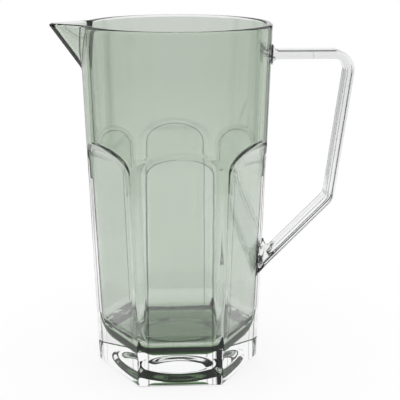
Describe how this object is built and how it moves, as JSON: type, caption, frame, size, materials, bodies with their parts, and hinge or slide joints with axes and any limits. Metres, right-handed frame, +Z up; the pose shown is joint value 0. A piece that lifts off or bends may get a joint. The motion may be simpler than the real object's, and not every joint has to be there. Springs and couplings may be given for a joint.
{
  "type": "acrylic jug",
  "caption": "Open panelled pouring jug: clear acrylic body over a green tinted liner, drawn V spout, thick clear base and a bent flat-bar handle cemented to the wall.",
  "frame": {"origin": "on the surface the jug stands on, under the middle of its outline from the spout's tip to the grip", "axes": "+Z up, +X towards the handle, -X towards the spout; the round rim's axis stands at x = -0.01716 m"},
  "size_m": [0.2044, 0.1282, 0.24],
  "materials": {
    "clear_acrylic": "clear, polished",
    "green_acrylic": "transparent grey green, polished",
    "cement": "cured clear cement, dark where light is trapped in it"
  },
  "bodies": {
    "root": {"outer_body": "clear_acrylic", "tinted_liner": "green_acrylic", "handle": "clear_acrylic", "upper_bond": "cement", "lower_bond": "cement"}
  },
  "joints": []
}
